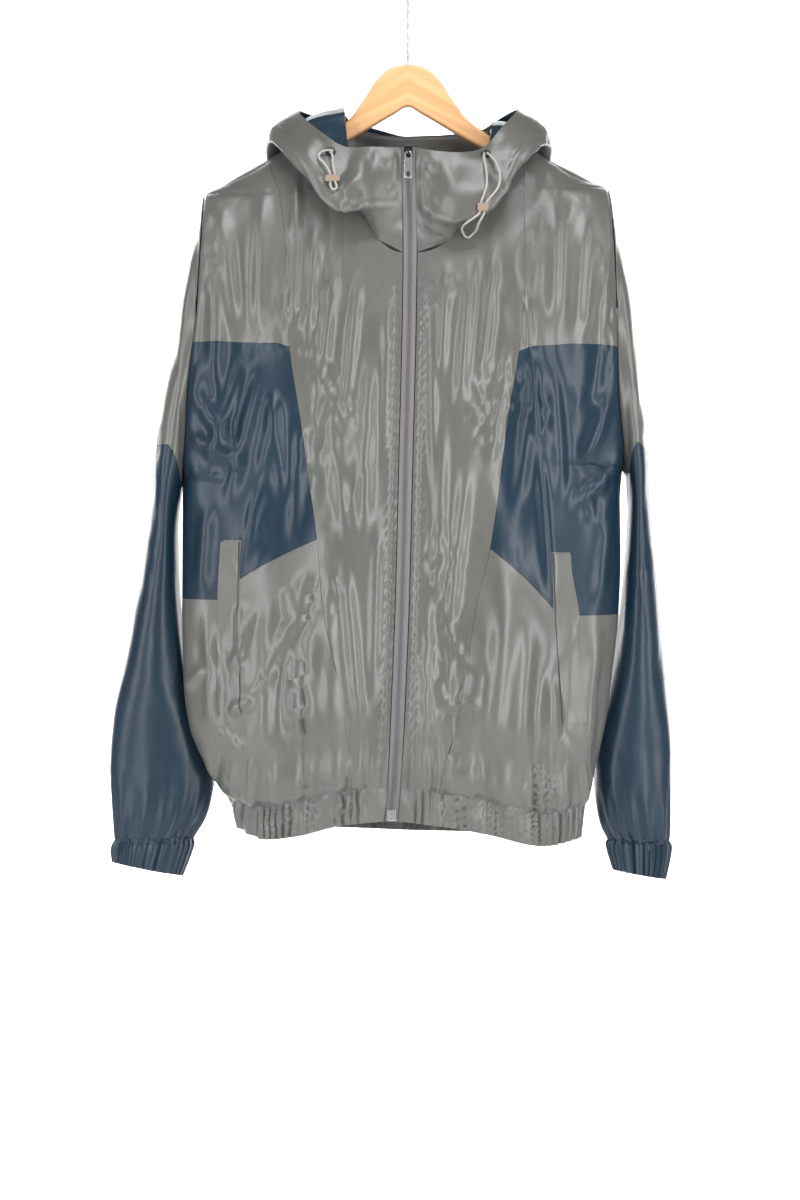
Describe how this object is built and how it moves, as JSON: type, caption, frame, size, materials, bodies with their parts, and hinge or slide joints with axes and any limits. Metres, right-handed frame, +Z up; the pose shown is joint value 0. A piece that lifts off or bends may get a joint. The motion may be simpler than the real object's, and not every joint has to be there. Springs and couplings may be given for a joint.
{
  "type": "hooded windbreaker jacket on a wooden hanger",
  "caption": "Zipped hooded windbreaker jacket with blocked panels, drawcords and a shirred hem, hanging on a wooden hanger.",
  "frame": {"origin": "the inside top of the hanger's hook, where a rail carries it", "axes": "+Z up, -Y towards someone facing the jacket's front, +X to their right"},
  "size_m": [0.5954, 0.2107, 0.9922],
  "materials": {
    "back": "crinkled light taffeta",
    "cord_stopper_left": "matte",
    "cord_stopper_right": "matte",
    "cuff_left": "crinkled dark taffeta",
    "cuff_right": "crinkled dark taffeta",
    "drawcord_left": "braided cord",
    "drawcord_right": "braided cord",
    "eyelet_left": "black",
    "eyelet_right": "black",
    "front_block_left": "crinkled dark taffeta",
    "front_block_right": "crinkled dark taffeta",
    "front_center_left": "crinkled light taffeta",
    "front_center_right": "crinkled light taffeta",
    "front_hip_left": "crinkled light taffeta",
    "front_hip_right": "crinkled light taffeta",
    "front_shoulder_left": "crinkled light taffeta",
    "front_shoulder_right": "crinkled light taffeta",
    "hanger_body": "clear lacquer",
    "hanger_hook": "polished",
    "hem_band_back": "crinkled light taffeta",
    "hem_band_left": "crinkled light taffeta",
    "hem_band_right": "crinkled light taffeta",
    "hood_left": "crinkled light taffeta",
    "hood_lining_left": "dark taffeta",
    "hood_lining_right": "dark taffeta",
    "hood_right": "crinkled light taffeta",
    "pocket_welt_left": "crinkled light taffeta",
    "pocket_welt_right": "crinkled light taffeta",
    "sleeve_lower_left": "crinkled dark taffeta",
    "sleeve_lower_right": "crinkled dark taffeta",
    "sleeve_upper_left": "crinkled light taffeta",
    "sleeve_upper_right": "crinkled light taffeta",
    "zip_box": "black",
    "zip_chain": "coil",
    "zip_pull": "satin",
    "zip_slider": "black",
    "zip_tape_left": "woven tape",
    "zip_tape_right": "woven tape"
  },
  "bodies": {
    "jacket": {"back": "back", "cord_stopper_left": "cord_stopper_left", "cord_stopper_right": "cord_stopper_right", "cuff_left": "cuff_left", "cuff_right": "cuff_right", "drawcord_left": "drawcord_left", "drawcord_right": "drawcord_right", "eyelet_left": "eyelet_left", "eyelet_right": "eyelet_right", "front_block_left": "front_block_left", "front_block_right": "front_block_right", "front_center_left": "front_center_left", "front_center_right": "front_center_right", "front_hip_left": "front_hip_left", "front_hip_right": "front_hip_right", "front_shoulder_left": "front_shoulder_left", "front_shoulder_right": "front_shoulder_right", "hanger_body": "hanger_body", "hanger_hook": "hanger_hook", "hem_band_back": "hem_band_back", "hem_band_left": "hem_band_left", "hem_band_right": "hem_band_right", "hood_left": "hood_left", "hood_lining_left": "hood_lining_left", "hood_lining_right": "hood_lining_right", "hood_right": "hood_right", "pocket_welt_left": "pocket_welt_left", "pocket_welt_right": "pocket_welt_right", "sleeve_lower_left": "sleeve_lower_left", "sleeve_lower_right": "sleeve_lower_right", "sleeve_upper_left": "sleeve_upper_left", "sleeve_upper_right": "sleeve_upper_right", "zip_box": "zip_box", "zip_chain": "zip_chain", "zip_slider": "zip_slider", "zip_tape_left": "zip_tape_left", "zip_tape_right": "zip_tape_right"},
    "zip_pull": {"zip_pull": "zip_pull"}
  },
  "joints": [
    {"name": "zip_pull_swing", "type": "hinge", "parent": "jacket", "child": "zip_pull", "pos_m": [0.0001, -0.0689, -0.233], "axis": [1, 0, 0], "range_deg": [-150, 0]}
  ]
}
